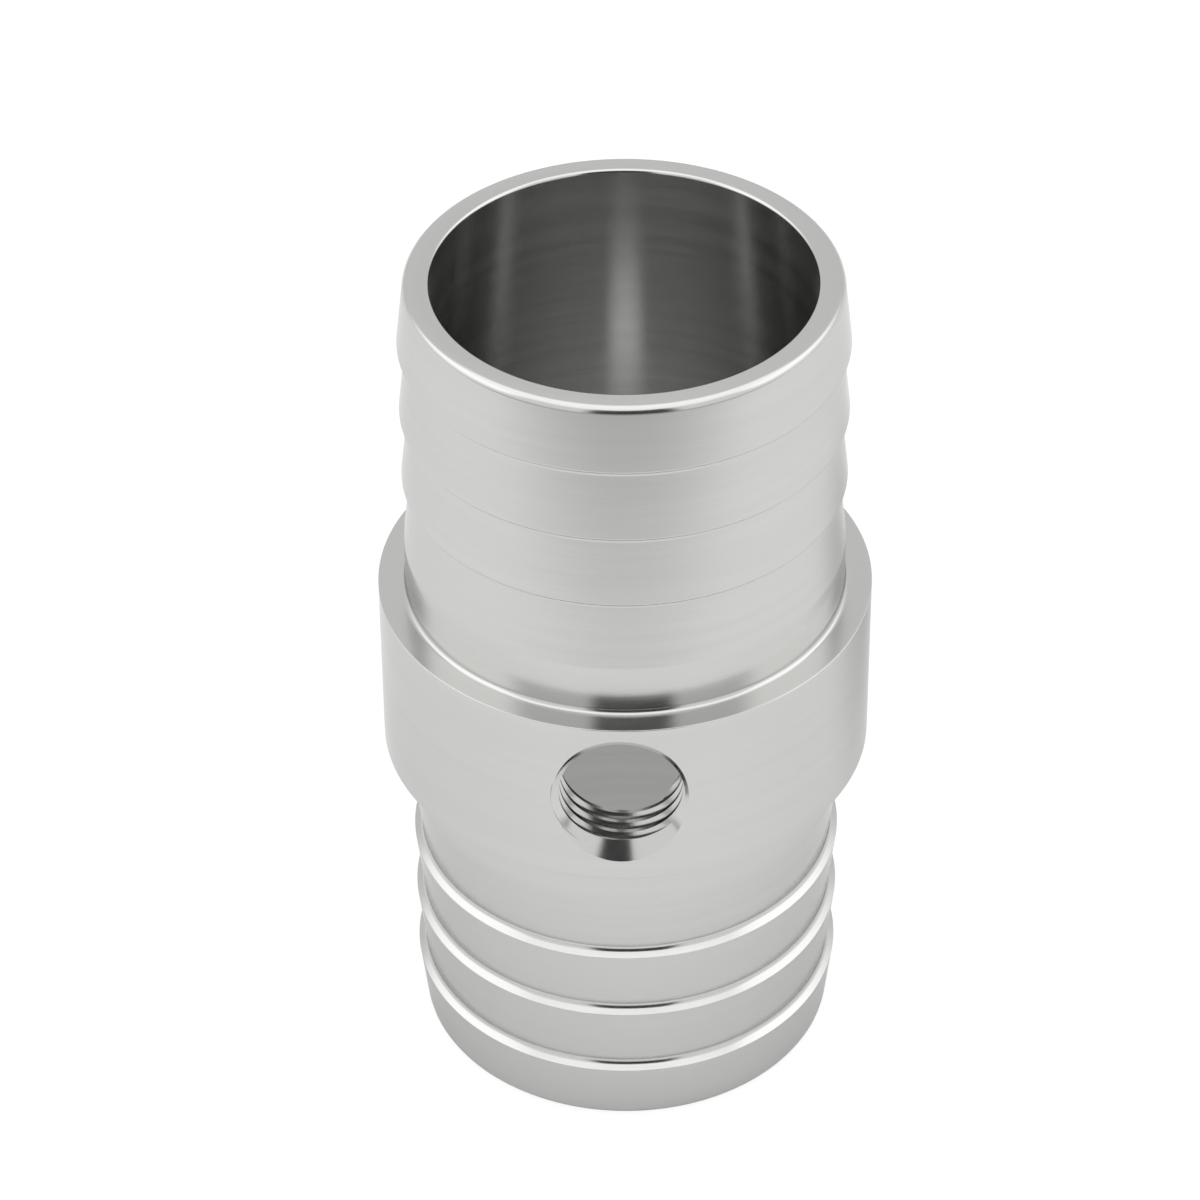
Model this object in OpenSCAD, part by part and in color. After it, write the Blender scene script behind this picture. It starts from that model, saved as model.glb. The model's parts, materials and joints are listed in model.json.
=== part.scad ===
// Straight hose coupling turned from one bar: two barbed ends, a collar and a side port.
// Millimetres, +Z along the bore, standing on one end at Z = 0. The side port faces -Y.

/* [Collar] */
// Diameter of the plain collar between the two hose ends
collar_d = 50.8; // [47:0.1:60]
// Length of the collar along the bore
collar_length = 19.5; // [17:0.1:40]
// Bevel on the two outer edges of the collar
collar_bevel = 0.1; // [0.05:0.05:0.8]

/* [Bore] */
// Wall between the bore and the barb crests
wall = 3.4; // [2.2:0.1:10]
// Bevel inside each mouth of the bore
mouth_bevel = 0.35; // [0.05:0.05:0.6]

/* [Hose ends] */
// Barbs on each hose end
barb_count = 3; // [1:1:6]
// Diameter over the barb crests, and of the plain neck behind them
crest_d = 45.2; // [44.4:0.1:46]
// How far each step falls from its crest to its foot, measured on the radius
barb_height = 0.85; // [0.2:0.05:1.4]
// Length along the bore over which each step falls
step_run = 0.55; // [0.1:0.05:1.5]
// How far the outer corner of the end face lies inside the crests, on the radius
tip_drop = 0.8; // [0.2:0.05:1.1]
// Distance from the end face to the first crest
first_barb = 7.05; // [4:0.05:15]
// Distance from one crest to the next
barb_pitch = 8.05; // [4:0.05:15]
// Length of the plain neck between the last ramp and the collar
neck_length = 5.55; // [1:0.05:20]

/* [Rounded corners] */
// Radius on the outer corner of each end face
tip_round = 0.8; // [0.05:0.05:0.9]
// Radius left in the corner at the foot of each step
foot_round = 0.6; // [0.05:0.05:1.2]
// Radius left in the corner between each neck and the collar
shoulder_round = 0.6; // [0.05:0.05:0.9]

/* [Side port] */
// How far the port's axis stands above the middle of the collar
port_rise = 0.45; // [-1:0.05:1]
// Diameter of the hole that is tapped for the sensor's thread
port_d = 12.5; // [4:0.1:13]
// Diameter of the countersink at the surface of the collar
sink_d = 15.8; // [13.5:0.1:16.5]
// Full angle of the countersink in degrees
sink_angle = 98; // [60:1:120]

/* [Hidden] */
// Sides of the turned surfaces and of the port
$fn = 180;
// Straight pieces that stand for each rounded corner
corner_steps = 6;
// Largest share of a corner's shorter side that its rounding may take
side_share = 0.95;
// How far a cut runs past the surface that it opens
overcut = 2;
hose_end = first_barb + barb_count * barb_pitch + neck_length;
total_length = collar_length + 2 * hose_end;
port_height = total_length / 2 + port_rise;
crest_r = crest_d / 2;
bore_r = crest_r - wall;
tip_r = crest_r - tip_drop;
sink_slope = tan(sink_angle / 2);
sink_depth = (sink_d - port_d) / 2 / sink_slope;

function unit(v) = v / norm(v);
function reversed(list) = [for (i = [len(list) - 1:-1:0]) list[i]];

// Points of an arc of the given radius, or of the largest that fits, that rounds the corner b
// between the lines to a and c
function rounded(a, b, c, radius) =
    let (
        u = unit(a - b),
        v = unit(c - b),
        half = acos(u * v) / 2,
        reach = min(radius / tan(half), side_share * min(norm(a - b), norm(c - b))),
        centre = b + unit(u + v) * reach / cos(half),
        from = b + u * reach - centre,
        to = b + v * reach - centre,
        sweep = 180 - 2 * half
    )
    [for (i = [0:corner_steps])
        centre + (from * sin(sweep * (1 - i / corner_steps)) + to * sin(sweep * i / corner_steps)) / sin(sweep)];

// Each corner is [radius from the axis, distance from the end face]
function crest(i) = [crest_r, first_barb + i * barb_pitch];
function foot(i) = crest(i) + [-barb_height, step_run];
tip = [tip_r, 0];
neck = [crest_r, hose_end];

// Outline of one hose end, from the mouth of the bore to the corner at the collar
hose_end_outline = concat(
    [[bore_r, mouth_bevel], [bore_r + mouth_bevel, 0]],
    rounded([bore_r + mouth_bevel, 0], tip, crest(0), tip_round),
    [for (i = [0:barb_count - 1])
        each concat([crest(i)], rounded(crest(i), foot(i), crest(i + 1), foot_round))],
    [crest(barb_count)],
    rounded(crest(barb_count), neck, neck + [1, 0], shoulder_round)
);

// Outline of one half of the body, up to the bevelled edge of the collar
half_outline = concat(
    hose_end_outline,
    [[collar_d / 2 - collar_bevel, hose_end], [collar_d / 2, hose_end + collar_bevel]]
);

module turned_body() {
    rotate_extrude()
        polygon(concat(
            half_outline,
            [for (p = reversed(half_outline)) [p.x, total_length - p.y]]
        ));
}

// Tapping hole and countersink, from the bore out through the collar towards -Y
module side_port() {
    translate([0, 0, port_height])
        rotate([90, 0, 0]) {
            cylinder(d = port_d, h = collar_d / 2 + overcut);
            translate([0, 0, collar_d / 2 - sink_depth])
                cylinder(
                    d1 = port_d,
                    d2 = sink_d + 2 * overcut * sink_slope,
                    h = sink_depth + overcut
                );
        }
}

module body() {
    color("silver")
        difference() {
            turned_body();
            side_port();
        }
}

body();
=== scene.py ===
import json
import math

import bmesh
import bpy
from mathutils import Matrix, Vector


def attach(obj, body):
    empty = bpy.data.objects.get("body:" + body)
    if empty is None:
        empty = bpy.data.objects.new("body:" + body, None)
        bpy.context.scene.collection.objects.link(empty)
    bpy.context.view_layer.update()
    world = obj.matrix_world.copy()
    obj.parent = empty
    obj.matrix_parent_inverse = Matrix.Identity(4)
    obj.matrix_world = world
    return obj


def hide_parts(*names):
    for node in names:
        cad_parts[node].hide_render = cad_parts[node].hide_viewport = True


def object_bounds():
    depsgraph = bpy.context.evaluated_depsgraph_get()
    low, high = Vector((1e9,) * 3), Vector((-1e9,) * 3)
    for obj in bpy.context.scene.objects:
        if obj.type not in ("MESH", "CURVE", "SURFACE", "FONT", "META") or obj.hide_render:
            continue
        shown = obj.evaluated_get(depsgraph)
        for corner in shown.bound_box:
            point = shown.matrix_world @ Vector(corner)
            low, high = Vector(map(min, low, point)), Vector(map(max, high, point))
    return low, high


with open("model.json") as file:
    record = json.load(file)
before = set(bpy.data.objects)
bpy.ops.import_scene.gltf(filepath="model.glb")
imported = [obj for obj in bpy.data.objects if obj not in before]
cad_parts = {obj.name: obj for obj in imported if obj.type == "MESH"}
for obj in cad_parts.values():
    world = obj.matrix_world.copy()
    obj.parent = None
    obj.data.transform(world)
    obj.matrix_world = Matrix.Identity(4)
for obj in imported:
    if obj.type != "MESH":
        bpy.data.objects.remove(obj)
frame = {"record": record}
cad_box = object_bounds()

bl_info = {
    "name": "Hose coupling",
    "version": (1, 0, 0),
    "blender": (4, 5, 0),
    "location": "3D View > Sidebar > Hose coupling",
    "description": "Builds a turned hose coupling with a threaded side port, in a plain studio",
    "category": "Add Mesh",
}

MM = 0.001
DEGREE = math.radians(1)

# Places of the materials in the body's list
OUTSIDE, BORE, PORT = 0, 1, 2
# Steps round the turned body, round the port and round one turn of the thread
BODY_STEPS, PORT_STEPS, THREAD_STEPS = 360, 192, 96
# Angle between two faces past which their edge stays crisp
CRISP = 25 * DEGREE


# Settings


def mount(name):
    """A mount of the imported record, by its name."""
    return next(m for m in frame["record"]["mounts"] if m["name"] == name)


def mount_radius(name):
    """Radius of a round mount, in metres."""
    return mount(name)["dims"]["r_mm"] * MM


def length(name, description, default):
    """A length property, in metres."""
    return bpy.props.FloatProperty(
        name=name, description=description, default=default, unit="LENGTH", subtype="DISTANCE", precision=5
    )


def angle(name, description, degrees):
    """An angle property with its default in degrees."""
    return bpy.props.FloatProperty(
        name=name, description=description, default=degrees * DEGREE, unit="ROTATION", subtype="ANGLE"
    )


def number(name, description, default):
    """A plain number property."""
    return bpy.props.FloatProperty(name=name, description=description, default=default, precision=4)


def colour(name, description, default):
    """A colour property, in linear light."""
    return bpy.props.FloatVectorProperty(
        name=name, description=description, default=default, size=3, subtype="COLOR", min=0, max=1
    )


def place(name, description, default):
    """A point, in metres."""
    return bpy.props.FloatVectorProperty(
        name=name, description=description, default=default, size=3, unit="LENGTH", subtype="TRANSLATION"
    )


class CouplingSizes(bpy.types.PropertyGroup):
    """Sizes of the turned body and of its side port"""

    total_length: length("Length", "Length over both hose ends", cad_box[1][2])
    collar_radius: length("Collar radius", "Radius of the plain collar", cad_box[1][0])
    hose_end: length("Hose end", "Length of each hose end", mount("lower_shoulder")["pos_m"][2])
    crest_radius: length("Crest radius", "Radius of the crests and the neck", mount_radius("upper_hose_end"))
    bore_radius: length("Bore radius", "Radius of the through bore", mount_radius("through_bore"))
    barb_count: bpy.props.IntProperty(name="Barbs", description="Barbs on each hose end", default=3, min=1)
    barb_height: length("Barb height", "Fall of each step from its crest", 0.85 * MM)
    step_run: length("Step run", "Length over which a step falls", 0.55 * MM)
    tip_drop: length("Tip drop", "How far the end face's corner lies inside the crests", 0.8 * MM)
    first_barb: length("First barb", "End face to the first crest", 7.05 * MM)
    barb_pitch: length("Barb pitch", "Crest to crest", 8.05 * MM)
    collar_round: length("Collar edge", "Rounding of the collar's edges", 0.1 * MM)
    mouth_round: length("Mouth edge", "Rounding of the bore's mouths", 0.35 * MM)
    tip_round: length("Tip edge", "Rounding of the end face's outer edge", 0.8 * MM)
    low_crest_round: length("Lower crest edge", "Rounding of each crest below the collar", 0.03 * MM)
    high_crest_round: length("Upper crest edge", "Rounding of each crest above the collar", 0.25 * MM)
    neck_round: length("Neck edge", "Rounding where the last ramp meets the neck", 3 * MM)
    foot_round: length("Foot corner", "Radius in the corner under each step", 0.6 * MM)
    shoulder_round: length("Shoulder corner", "Radius in the corner at the collar", 0.6 * MM)
    port_radius: length("Port radius", "Radius of the tapping hole", mount_radius("side_port"))
    port_height: length("Port height", "Height of the port's axis", mount("side_port")["pos_m"][2])
    sink_radius: length("Countersink radius", "Radius of the countersink's mouth", 7.9 * MM)
    sink_angle: angle("Countersink angle", "Full angle of the countersink", 98)
    thread_pitch: length("Thread pitch", "Crest to crest of the thread", 1.5 * MM)
    thread_radius: length("Thread radius", "Radius of the sharp corner in the thread's roots", 7.16 * MM)
    thread_root_round: length("Thread root", "Rounding of the thread's roots", 0.12 * MM)
    thread_turn: angle("Thread turn", "Turn of the thread about the port's axis", 228)


class FinishSettings(bpy.types.PropertyGroup):
    """Colour and surface of the metal"""

    metal: colour("Metal", "Colour of the bare metal", (0.61, 0.61, 0.6))
    edge_tint: number("Edge tint", "How bright reflections stay at a grazing angle", 0.85)
    outside_roughness: number("Outside roughness", "Roughness of the turned outside", 0.17)
    outside_grain: number("Outside grain", "How much the turning marks stretch reflections", 0.78)
    bore_roughness: number("Bore roughness", "Roughness of the bore", 0.23)
    bore_grain: number("Bore grain", "How much the bore's turning marks stretch reflections", 0.82)
    port_roughness: number("Port roughness", "Roughness of the countersink and the thread", 0.15)


class StudioSettings(bpy.types.PropertyGroup):
    """Light, floor and camera"""

    floor: colour("Floor", "Colour of the floor", (0.88, 0.88, 0.88))
    floor_radius: length("Floor radius", "Radius of the round floor", 3)
    white: number("White", "Strength of the white that stands for the floor", 1.06)
    lens: number("Lens", "Focal length in millimetres on a 36 mm frame", 145.36)
    camera_place: place("Camera place", "Where the camera stands", (0.0082, -0.3922, 0.3644))
    camera_aim: place("Camera aim", "The point at the middle of the picture", (-0.0026, 0, 0.0526))
    camera_roll: angle("Camera roll", "Turn of the camera about its own view", -0.46)
    camera_glow: number("Camera glow", "How much the camera sees the floor as plain white", 0.85)
    # Painted light: in reflections the floor under the bore glows white, though no lamp lights it.
    inner_glow: number("Inner glow", "How much reflections see the floor inside the bore as white", 0.45)
    inner_reach: length("Inner reach", "Radius of the floor that shows white inside the bore", 0.018)
    # Painted shade: the floor's colour darkens far in front of the object, where shade falls.
    shade: number("Floor shade", "How much darker the floor is far in front", 0.5)
    shade_start: length("Shade start", "Distance in front at which the floor starts to darken", 0.1)
    shade_end: length("Shade end", "Distance in front at which the floor is darkest", 0.3)
    # Painted shadow: a soft darker patch in the floor's colour behind the object, to the right.
    painted_shadow: number("Floor patch", "How much darker the floor is behind the object, to the right", 0.35)
    painted_shadow_place: place("Patch place", "The middle of the darker patch", (0.072, 0.062, 0))
    painted_shadow_reach: length("Patch reach", "Distance from its middle at which the patch has faded", 0.06)
    room: number("Room", "Brightness of the wall behind the object", 0.8)
    near_sides: number("Near sides", "Brightness of the walls beside the dark side", 0.95)
    sides: number("Sides", "Brightness of the light at the sides", 1.65)
    sides_low: angle("Sides low", "Elevation at which the light at the sides starts", 8)
    sides_high: angle("Sides high", "Elevation at which the light at the sides is full", 36)
    sides_start: angle("Sides start", "From the dark side's middle to where the side light starts", 64)
    sides_end: angle("Sides end", "From the dark side's middle to where the side light ends", 132)
    sides_soft: angle("Sides fade", "Half the width over which the light at the sides fades", 8)
    overhead: number("Overhead", "Brightness of the light overhead", 1.45)
    overhead_edge: angle("Overhead edge", "Elevation at which the light overhead starts", 52)
    overhead_soft: angle("Overhead fade", "Half the width over which the light overhead fades", 4)
    dark: number("Dark side", "Brightness of the dark side behind the camera", 0.05)
    dark_middle: angle("Dark middle", "Where the dark side's middle lies, to the right of the camera", 5)
    dark_half: angle("Dark half width", "Half the width of the dark side", 21)
    dark_soft: angle("Dark fade", "Half the width of the dark side's fade", 4)


# Mesh


def round_corner(bm, corner, radius, steps):
    """Rounds one corner of a wire outline to a radius."""
    one, other = [(edge.other_vert(corner).co - corner.co).normalized() for edge in corner.link_edges]
    half = one.angle(other) / 2
    bmesh.ops.bevel(
        bm,
        geom=[corner],
        offset=radius / math.tan(half),
        offset_type="OFFSET",
        segments=steps,
        profile=0.5,
        affect="VERTICES",
        material=-1,
    )


def wire_outline(corners, closed=False, steps=6):
    """A wire outline in the XZ plane from corners given as (radius, height, rounding)."""
    bm = bmesh.new()
    verts = [bm.verts.new((radius, 0, height)) for radius, height, _ in corners]
    for start, end in zip(verts, verts[1:] + verts[:1] if closed else verts[1:]):
        bm.edges.new((start, end))
    for vert, (_, _, rounding) in zip(verts, corners):
        if rounding > 0:
            round_corner(bm, vert, rounding, steps)
    return bm


def spin_round(bm, steps):
    """Turns a wire outline once round the Z axis into a closed skin that faces outwards."""
    bmesh.ops.spin(
        bm,
        geom=bm.verts[:] + bm.edges[:],
        cent=(0, 0, 0),
        axis=(0, 0, 1),
        angle=math.tau,
        steps=steps,
        use_merge=True,
    )
    bmesh.ops.remove_doubles(bm, verts=bm.verts[:], dist=1e-4 * MM)
    bmesh.ops.recalc_face_normals(bm, faces=bm.faces[:])


def mesh_object(name, bm, materials=(), face_material=0):
    """Stores a bmesh as an object."""
    for face in bm.faces:
        face.smooth = True
        if face_material:
            face.material_index = face_material
    mesh = bpy.data.meshes.new(name)
    bm.to_mesh(mesh)
    bm.free()
    for material in materials:
        mesh.materials.append(material)
    obj = bpy.data.objects.new(name, mesh)
    bpy.context.scene.collection.objects.link(obj)
    return obj


def take_modifiers(obj):
    """Replaces an object's mesh by what its modifiers make of it."""
    bpy.context.view_layer.update()
    graph = bpy.context.evaluated_depsgraph_get()
    mesh = bpy.data.meshes.new_from_object(obj.evaluated_get(graph))
    obj.modifiers.clear()
    obj.data = mesh


def cut_away(obj, tool):
    """Cuts a closed tool out of an object."""
    modifier = obj.modifiers.new(tool.name, "BOOLEAN")
    modifier.operation = "DIFFERENCE"
    modifier.solver = "EXACT"
    modifier.material_mode = "INDEX"
    modifier.object = tool
    take_modifiers(obj)
    bpy.data.objects.remove(tool)


def hose_end_corners(s, crest_round):
    """Outline of one hose end and half the collar's edge, from the mouth of the bore."""
    half = [(s.bore_radius, 0, s.mouth_round), (s.crest_radius - s.tip_drop, 0, s.tip_round)]
    for barb in range(s.barb_count):
        height = s.first_barb + barb * s.barb_pitch
        half.append((s.crest_radius, height, crest_round))
        half.append((s.crest_radius - s.barb_height, height + s.step_run, s.foot_round))
    half.append((s.crest_radius, s.first_barb + s.barb_count * s.barb_pitch, s.neck_round))
    half.append((s.crest_radius, s.hose_end, s.shoulder_round))
    half.append((s.collar_radius, s.hose_end, s.collar_round))
    return half


def body_corners(s):
    """Outline of the body from the lower mouth of the bore, up the outside, to the upper mouth."""
    lower = hose_end_corners(s, s.low_crest_round)
    upper = hose_end_corners(s, s.high_crest_round)
    upper = [(radius, s.total_length - height, rounding) for radius, height, rounding in reversed(upper)]
    clear = s.sink_radius + 0.4 * MM
    below_port = (s.collar_radius, s.port_height - clear, 0)
    above_port = (s.collar_radius, s.port_height + clear, 0)
    return [*lower, below_port, above_port, *upper]


def turned_blank(s, materials):
    """The body before its port is cut."""
    bore_limit = s.bore_radius + 0.01 * MM
    bm = wire_outline(body_corners(s), closed=True)
    spin_round(bm, BODY_STEPS)
    for face in bm.faces:
        centre = face.calc_center_median()
        if math.hypot(centre.x, centre.y) < bore_limit:
            face.material_index = BORE
    return mesh_object("coupling_body", bm, materials)


def out_of_port(s):
    """Turns a tool that was made along +Z so that it points out of the port."""
    return Matrix.Translation((0, 0, s.port_height)) @ Matrix.Rotation(90 * DEGREE, 4, "X")


def drill_tool(s, materials):
    """The tapping hole and the countersink as one closed solid."""
    slope = math.tan(s.sink_angle / 2)
    inner_end = s.bore_radius * 0.6
    outer_end = s.collar_radius + 2 * MM
    sink_foot = s.collar_radius - (s.sink_radius - s.port_radius) / slope
    corners = [
        (0, inner_end, 0),
        (s.port_radius, inner_end, 0),
        (s.port_radius, sink_foot, 0),
        (s.port_radius + (outer_end - sink_foot) * slope, outer_end, 0),
        (0, outer_end, 0),
    ]
    bm = wire_outline(corners)
    spin_round(bm, PORT_STEPS)
    bm.transform(out_of_port(s))
    return mesh_object("drill_tool", bm, materials, PORT)


def thread_tool(s, materials):
    """The grooves of the right-hand thread as one closed solid.

    The tapping hole, which is wider than the form's inner edge, leaves the flats on the crests. The
    first and last turn and a half are cut off square, in the bore and outside the collar.
    """
    turns = 9
    turns_inside = 7
    turns_cut = 1.5
    flank = 30 * DEGREE
    pitch = s.thread_pitch
    start = s.collar_radius - turns_inside * pitch
    inner = s.thread_radius - pitch / 2 / math.tan(flank)
    form = [
        (inner, start, 0),
        (s.thread_radius, start + pitch / 2, s.thread_root_round),
        (inner, start + pitch, 0),
    ]
    bm = wire_outline(form)
    bmesh.ops.spin(
        bm,
        geom=bm.verts[:] + bm.edges[:],
        cent=(0, 0, 0),
        axis=(0, 0, 1),
        dvec=(0, 0, pitch / THREAD_STEPS),
        angle=math.tau * turns,
        steps=THREAD_STEPS * turns,
        use_merge=False,
    )
    bmesh.ops.remove_doubles(bm, verts=bm.verts[:], dist=1e-3 * MM)
    for height, side in ((start + turns_cut * pitch, -1), (start + (turns - turns_cut) * pitch, 1)):
        cut = bmesh.ops.bisect_plane(
            bm,
            geom=bm.verts[:] + bm.edges[:] + bm.faces[:],
            plane_co=(0, 0, height),
            plane_no=(0, 0, side),
            clear_outer=True,
        )
        rim = [item for item in cut["geom_cut"] if isinstance(item, bmesh.types.BMEdge)]
        bmesh.ops.contextual_create(bm, geom=rim)
    bmesh.ops.recalc_face_normals(bm, faces=bm.faces[:])
    bm.transform(out_of_port(s) @ Matrix.Rotation(s.thread_turn, 4, "Z"))
    return mesh_object("thread_tool", bm, materials, PORT)


def shade_edges(obj, limit):
    """Smooth faces with a crisp line where they meet at more than the limit."""
    bm = bmesh.new()
    bm.from_mesh(obj.data)
    for edge in bm.edges:
        edge.smooth = edge.calc_face_angle(math.pi) < limit
    bm.to_mesh(obj.data)
    bm.free()
    weighted = obj.modifiers.new("weighted", "WEIGHTED_NORMAL")
    weighted.keep_sharp = True
    take_modifiers(obj)


# Shader


class Value:
    """A number in a shader: Python's operators on it add Math nodes."""

    def __init__(self, nodes, socket):
        self.nodes = nodes
        self.socket = socket

    def math(self, operation, *others):
        """A Math node on this number and others."""
        return self.nodes.value("ShaderNodeMath", {"operation": operation}, (self, *others))

    def before(self, operation, other):
        """A Math node in which the other number comes first."""
        return self.nodes.value("ShaderNodeMath", {"operation": operation}, (other, self))

    def __add__(self, other):
        return self.math("ADD", other)

    def __radd__(self, other):
        return self.before("ADD", other)

    def __sub__(self, other):
        return self.math("SUBTRACT", other)

    def __rsub__(self, other):
        return self.before("SUBTRACT", other)

    def __mul__(self, other):
        return self.math("MULTIPLY", other)

    def __rmul__(self, other):
        return self.before("MULTIPLY", other)

    def __pow__(self, other):
        return self.math("POWER", other)

    def __neg__(self):
        return self.math("MULTIPLY", -1.0)


class Nodes:
    """Adds nodes to one material or world."""

    def __init__(self, owner):
        owner.use_nodes = True
        self.tree = owner.node_tree
        self.tree.nodes.clear()

    def add(self, kind, settings=None, inputs=()):
        """A node of a type, with its settings and then the values or links of its sockets."""
        node = self.tree.nodes.new(kind)
        for name, setting in (settings or {}).items():
            setattr(node, name, setting)
        for key, content in inputs.items() if isinstance(inputs, dict) else enumerate(inputs):
            self.feed(node.inputs[key], content)
        return node

    def feed(self, socket, content):
        """Links a socket, or sets it."""
        if isinstance(content, Value):
            content = content.socket
        if isinstance(content, bpy.types.NodeSocket):
            self.tree.links.new(content, socket)
        else:
            socket.default_value = content

    def value(self, kind, settings=None, inputs=(), output=0):
        """A number from one output of a new node."""
        return Value(self, self.add(kind, settings, inputs).outputs[output])

    def split(self, vector):
        """The three numbers of a vector."""
        parts = self.add("ShaderNodeSeparateXYZ", None, (vector,))
        return [Value(self, part) for part in parts.outputs]

    def ramp(self, value, low, high):
        """Rises smoothly from 0 at low to 1 at high."""
        limits = {"Value": value, "From Min": low, "From Max": high, "To Min": 0.0, "To Max": 1.0}
        return self.value("ShaderNodeMapRange", {"interpolation_type": "SMOOTHSTEP"}, limits)

    def noise(self, vector, scale, detail):
        """Noise about zero."""
        noise = self.value("ShaderNodeTexNoise", None, {"Vector": vector, "Scale": scale, "Detail": detail})
        return noise - 0.5


def turned_metal(name, tint, edge, roughness, grain):
    """Bare metal with turning marks round the Z axis: fine ones, broad ones and faint streaks."""
    fine_scale, broad_scale, streak_scale = 6000.0, 500.0, 900.0
    change_along = 0.02
    material = bpy.data.materials.new(name)
    nodes = Nodes(material)
    x, y, z = nodes.split(nodes.add("ShaderNodeTexCoord").outputs["Object"])
    radius = (x * x + y * y) ** 0.5
    rings = nodes.add("ShaderNodeCombineXYZ", None, (radius, x * change_along, z)).outputs[0]
    fine = nodes.noise(rings, fine_scale, 3.0)
    broad = nodes.noise(rings, broad_scale, 2.0)
    brightness = 1.0 + nodes.noise(rings, streak_scale, 1.0) * 0.07
    tone = nodes.add("ShaderNodeVectorMath", {"operation": "SCALE"}, {"Vector": tint, "Scale": brightness})
    bump = nodes.add("ShaderNodeBump", None, {"Strength": 0.1, "Distance": 0.02 * MM, "Height": fine})
    shader = nodes.add(
        "ShaderNodeBsdfPrincipled",
        None,
        {
            "Base Color": tone.outputs[0],
            "Metallic": 1.0,
            "Specular Tint": (edge, edge, edge, 1),
            "Roughness": roughness + fine * 0.1 + broad * 0.12,
            "Anisotropic": grain,
            "Anisotropic Rotation": 0.25,
            "Normal": bump.outputs[0],
        },
    )
    nodes.add("ShaderNodeOutputMaterial", None, (shader.outputs[0],))
    return material


def cut_metal(tint, roughness):
    """Smoother metal of the countersink and the thread, with fine marks all ways."""
    mark_scale = 1500.0
    material = bpy.data.materials.new("port_metal")
    nodes = Nodes(material)
    spot = nodes.add("ShaderNodeTexCoord").outputs["Object"]
    marks = nodes.noise(spot, mark_scale, 3.0)
    shader = nodes.add(
        "ShaderNodeBsdfPrincipled",
        None,
        {"Base Color": (*tint, 1), "Metallic": 1.0, "Roughness": roughness + marks * 0.08},
    )
    nodes.add("ShaderNodeOutputMaterial", None, (shader.outputs[0],))
    return material


def coupling_metals(s):
    """The body's materials, in the order of their places."""
    metal = tuple(s.metal)
    return [
        turned_metal("turned_metal", metal, s.edge_tint, s.outside_roughness, s.outside_grain),
        turned_metal("bore_metal", metal, s.edge_tint, s.bore_roughness, s.bore_grain),
        cut_metal(metal, s.port_roughness),
    ]


def floor_paint(s):
    """White floor that the camera sees as white, with a faint shadow of the object; its colour holds painted
    shade far in front and a painted shadow behind, to the right, and in reflections the floor under the bore
    glows as painted light.
    """
    inner_fade = 1 * MM
    material = bpy.data.materials.new("studio_floor")
    nodes = Nodes(material)
    x, y, _ = nodes.split(nodes.add("ShaderNodeTexCoord").outputs["Object"])
    # Painted shadow: the floor's colour darkens round a point behind the object, to the right.
    right, behind, _ = s.painted_shadow_place
    from_painted_shadow = ((x - right) ** 2 + (y - behind) ** 2) ** 0.5
    painted_shadow = s.painted_shadow * (1.0 - nodes.ramp(from_painted_shadow, 0.0, s.painted_shadow_reach))
    # Painted shade far in front, times the painted shadow behind, scales the floor's colour.
    painted_shading = (1.0 - s.shade * nodes.ramp(-y, s.shade_start, s.shade_end)) * (1.0 - painted_shadow)
    floor = tuple(s.floor)
    tone = nodes.add("ShaderNodeVectorMath", {"operation": "SCALE"}, {"Vector": floor, "Scale": painted_shading})
    diffuse = nodes.add("ShaderNodeBsdfDiffuse", None, (tone.outputs[0],))
    glow = nodes.add("ShaderNodeEmission", None, {"Color": (1, 1, 1, 1), "Strength": s.white})
    path = nodes.add("ShaderNodeLightPath")
    camera_ray = Value(nodes, path.outputs["Is Camera Ray"])
    glossy_ray = Value(nodes, path.outputs["Is Glossy Ray"])
    # Painted light: glossy rays see the floor under the bore as glowing white.
    radius = (x * x + y * y) ** 0.5
    inside = 1.0 - nodes.ramp(radius, s.inner_reach - inner_fade, s.inner_reach + inner_fade)
    share = camera_ray * s.camera_glow + glossy_ray * inside * s.inner_glow
    shown = nodes.add("ShaderNodeMixShader", None, (share, diffuse.outputs[0], glow.outputs[0]))
    nodes.add("ShaderNodeOutputMaterial", None, (shown.outputs[0],))
    return material


def room_light(s):
    """A pale room with a bright light overhead, dark behind the camera."""
    world = bpy.data.worlds.new("studio")
    bpy.context.scene.world = world
    nodes = Nodes(world)
    x, y, z = nodes.split(nodes.add("ShaderNodeTexCoord").outputs["Generated"])
    azimuth = x.math("ARCTAN2", -y)
    elevation = z.math("ARCSINE")
    aside = (azimuth - s.dark_middle).math("ABSOLUTE")
    leave_dark = nodes.ramp(aside, s.dark_half - s.dark_soft, s.dark_half + s.dark_soft)
    reach_side = nodes.ramp(aside, s.sides_start - s.sides_soft, s.sides_start + s.sides_soft)
    leave_side = nodes.ramp(aside, s.sides_end - s.sides_soft, s.sides_end + s.sides_soft)
    above = nodes.ramp(elevation, s.overhead_edge - s.overhead_soft, s.overhead_edge + s.overhead_soft)
    side_light = reach_side * nodes.ramp(elevation, s.sides_low, s.sides_high)
    walls = s.near_sides + (s.sides - s.near_sides) * side_light
    walls = s.dark + (walls - s.dark) * leave_dark
    walls = walls + (s.room - walls) * leave_side
    studio = walls + (s.overhead - walls) * above
    camera_ray = nodes.value("ShaderNodeLightPath")
    strength = camera_ray + (1.0 - camera_ray) * studio
    background = nodes.add("ShaderNodeBackground", None, {"Color": (1, 1, 1, 1), "Strength": strength})
    nodes.add("ShaderNodeOutputWorld", None, (background.outputs[0],))


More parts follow.
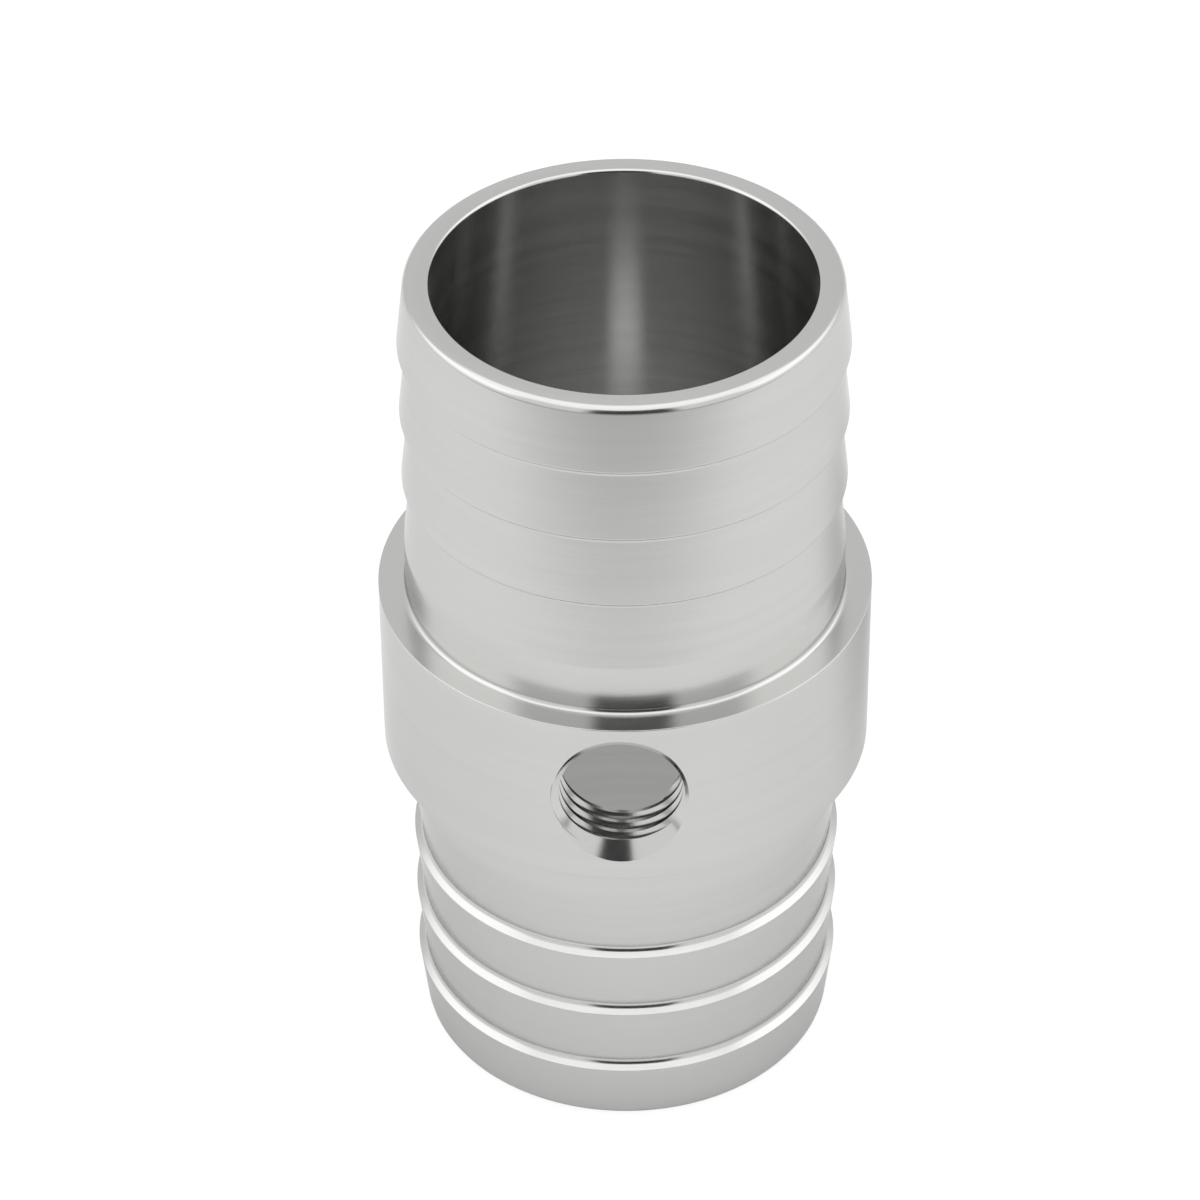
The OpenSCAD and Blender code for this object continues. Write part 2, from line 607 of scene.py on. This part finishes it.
def set_camera(scene):
    """A camera at the picture's viewpoint."""
    s = scene.coupling_studio
    camera = bpy.data.objects.new("camera", bpy.data.cameras.new("camera"))
    scene.collection.objects.link(camera)
    camera.data.lens = s.lens
    camera.location = s.camera_place
    view = Vector(s.camera_aim) - Vector(s.camera_place)
    turn = view.to_track_quat("-Z", "Y").to_matrix() @ Matrix.Rotation(s.camera_roll, 3, "Z")
    camera.rotation_euler = turn.to_euler()
    scene.camera = camera


# Operators


class CouplingBody(bpy.types.Operator):
    """Build the turned body with its threaded side port"""

    bl_idname = "coupling.body"
    bl_label = "Turned body"
    bl_options = {"REGISTER", "UNDO"}

    def execute(self, context):
        sizes = context.scene.coupling_sizes
        finish = context.scene.coupling_finish
        metals = coupling_metals(finish)
        body = turned_blank(sizes, metals)
        cut_away(body, drill_tool(sizes, metals))
        cut_away(body, thread_tool(sizes, metals))
        shade_edges(body, CRISP)
        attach(body, "root")
        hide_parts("body")
        return {"FINISHED"}


class CouplingStudio(bpy.types.Operator):
    """Build the floor, the light and the camera"""

    bl_idname = "coupling.studio"
    bl_label = "Studio"
    bl_options = {"REGISTER", "UNDO"}

    def execute(self, context):
        studio = context.scene.coupling_studio
        bm = bmesh.new()
        bmesh.ops.create_circle(bm, cap_ends=True, segments=96, radius=studio.floor_radius)
        floor = mesh_object("floor", bm, [floor_paint(studio)])
        room_light(studio)
        set_camera(context.scene)
        context.scene.view_settings.view_transform = "Standard"
        return {"FINISHED"}


class CouplingPanel(bpy.types.Panel):
    """The coupling's operators and settings"""

    bl_idname = "VIEW3D_PT_coupling"
    bl_label = "Hose coupling"
    bl_space_type = "VIEW_3D"
    bl_region_type = "UI"
    bl_category = "Hose coupling"

    def draw(self, context):
        for operator in (CouplingBody, CouplingStudio):
            self.layout.operator(operator.bl_idname)
        for group in ("coupling_sizes", "coupling_finish", "coupling_studio"):
            settings = getattr(context.scene, group)
            column = self.layout.column()
            for name in settings.__annotations__:
                column.prop(settings, name)


GROUPS = {
    "coupling_sizes": CouplingSizes,
    "coupling_finish": FinishSettings,
    "coupling_studio": StudioSettings,
}
CLASSES = (*GROUPS.values(), CouplingBody, CouplingStudio, CouplingPanel)


def register():
    for item in CLASSES:
        bpy.utils.register_class(item)
    for name, group in GROUPS.items():
        setattr(bpy.types.Scene, name, bpy.props.PointerProperty(type=group))


def unregister():
    for name in GROUPS:
        delattr(bpy.types.Scene, name)
    for item in reversed(CLASSES):
        bpy.utils.unregister_class(item)


def main():
    register()
    bpy.ops.coupling.body()
    bpy.ops.coupling.studio()


if __name__ == "__main__":
    main()
